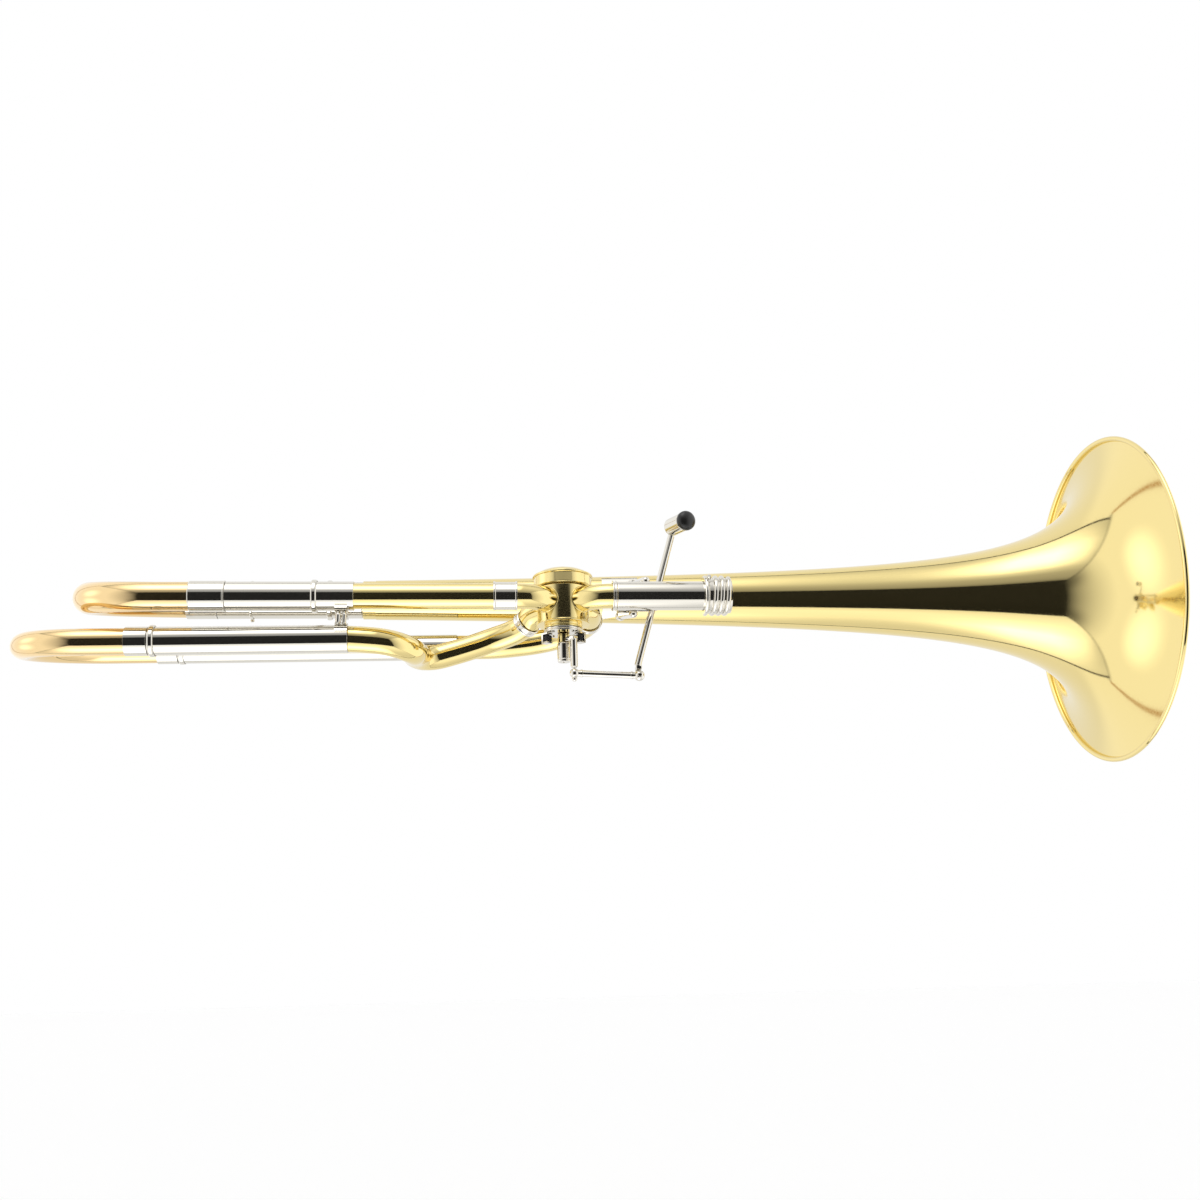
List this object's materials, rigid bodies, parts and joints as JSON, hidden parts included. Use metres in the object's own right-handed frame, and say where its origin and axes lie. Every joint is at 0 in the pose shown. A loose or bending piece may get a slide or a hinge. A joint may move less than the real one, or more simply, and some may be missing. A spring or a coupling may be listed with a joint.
{
  "type": "tenor trombone",
  "caption": "Bell section of a large-bore tenor trombone with a rotary F attachment, its tuning slides, thumb lever and ball-jointed linkage.",
  "frame": {"origin": "centre of the slide receiver's mouth, where the hand slide plugs in", "axes": "+X along the receiver towards the bell's mouth, +Y from the neckpipe's line to the bell's line, +Z towards the thumb lever's top"},
  "size_m": [0.6968, 0.2176, 0.2176],
  "materials": {
    "yellow_brass": "polished and clear-lacquered yellow brass",
    "rose_brass": "polished and clear-lacquered rose brass",
    "nickel_silver": "polished nickel silver",
    "rotor_brass": "turned bearing brass",
    "spring_steel": "bright spring wire and ground pin",
    "black_rubber": "matt bumper rubber",
    "black_nylon": "satin moulded nylon"
  },
  "bodies": {
    "bell_section": {"bell": "yellow_brass", "bell_rim_wire": "nickel_silver", "bell_slide_tube": "nickel_silver", "bell_slide_bead": "nickel_silver", "bell_slide_collar": "nickel_silver", "slide_cross_brace": "nickel_silver", "neck_slide_collar": "nickel_silver", "neck_slide_tube": "nickel_silver", "gooseneck_tube": "yellow_brass", "gooseneck_ferrule": "nickel_silver", "gooseneck_knuckle": "yellow_brass", "neckpipe_knuckle": "yellow_brass", "neckpipe_ferrule": "nickel_silver", "slide_receiver_tube": "nickel_silver", "slide_receiver_thread": "nickel_silver", "receiver_key_pin": "nickel_silver", "valve_casing": "yellow_brass", "valve_cap": "yellow_brass", "rotor_back_bearing": "rotor_brass", "stop_plate": "nickel_silver", "bumper_holder_left": "nickel_silver", "bumper_holder_right": "nickel_silver", "bumper_left": "black_rubber", "bumper_right": "black_rubber", "f_return_knuckle": "yellow_brass", "f_feed_knuckle": "yellow_brass", "f_return_ferrule": "nickel_silver", "f_feed_ferrule": "nickel_silver", "f_return_tube": "yellow_brass", "f_feed_tube": "yellow_brass", "f_near_slide_tube": "nickel_silver", "f_far_slide_tube": "nickel_silver", "f_near_slide_collar": "nickel_silver", "f_far_slide_collar": "nickel_silver", "f_neck_brace": "nickel_silver", "f_bell_brace": "nickel_silver", "brace_neck_saddle": "nickel_silver", "brace_bell_saddle": "nickel_silver", "brace_upper_rod": "nickel_silver", "brace_lower_rod": "nickel_silver", "trigger_bracket": "nickel_silver", "trigger_hinge_pin": "spring_steel", "trigger_spring": "spring_steel"},
    "main_tuning_slide": {"main_bow": "rose_brass", "main_neck_inner_tube": "nickel_silver", "main_bell_inner_tube": "nickel_silver", "main_neck_ferrule": "nickel_silver", "main_bell_ferrule": "nickel_silver"},
    "f_tuning_slide": {"f_bow": "rose_brass", "f_near_inner_tube": "nickel_silver", "f_far_inner_tube": "nickel_silver", "f_near_bow_ferrule": "nickel_silver", "f_far_bow_ferrule": "nickel_silver"},
    "thumb_trigger": {"trigger_lever": "nickel_silver", "thumb_barrel": "nickel_silver", "thumb_cap": "black_nylon"},
    "trigger_link": {"link_rod": "nickel_silver"},
    "valve_rotor_body": {"valve_rotor": "rotor_brass", "stop_arm": "nickel_silver", "stop_arm_nut": "nickel_silver"}
  },
  "joints": [
    {"name": "main_tuning_slide", "type": "slide", "parent": "bell_section", "child": "main_tuning_slide", "axis": [-1, 0, 0], "range_m": [0, 0.055]},
    {"name": "f_tuning_slide", "type": "slide", "parent": "bell_section", "child": "f_tuning_slide", "axis": [-1, 0, -0.0073], "range_m": [0, 0.09]},
    {"name": "thumb_lever", "type": "hinge", "parent": "bell_section", "child": "thumb_trigger", "pos_m": [-0.0434, 0.01134, -0.00283], "axis": [0, 0.9703, -0.2419], "range_deg": [0, 15.97], "stiffness_Nm_per_rad": 0.25, "springref_deg": -11.46},
    {"name": "link_joint", "type": "hinge", "parent": "thumb_trigger", "child": "trigger_link", "pos_m": [-0.054, 0.00038, -0.04678], "axis": [0, 0.9703, -0.2419], "range_deg": [-22.98, 0]},
    {"name": "rotor", "type": "hinge", "parent": "bell_section", "child": "valve_rotor_body", "pos_m": [-0.0976, 0.01766, -0.0044], "axis": [0, 0.2419, 0.9703], "range_deg": [-90.02, 0]}
  ],
  "couplings": [
    {"joint": "rotor", "follows": "thumb_lever", "ratio": -5.6366},
    {"joint": "link_joint", "follows": "thumb_lever", "ratio": -1.4387}
  ]
}
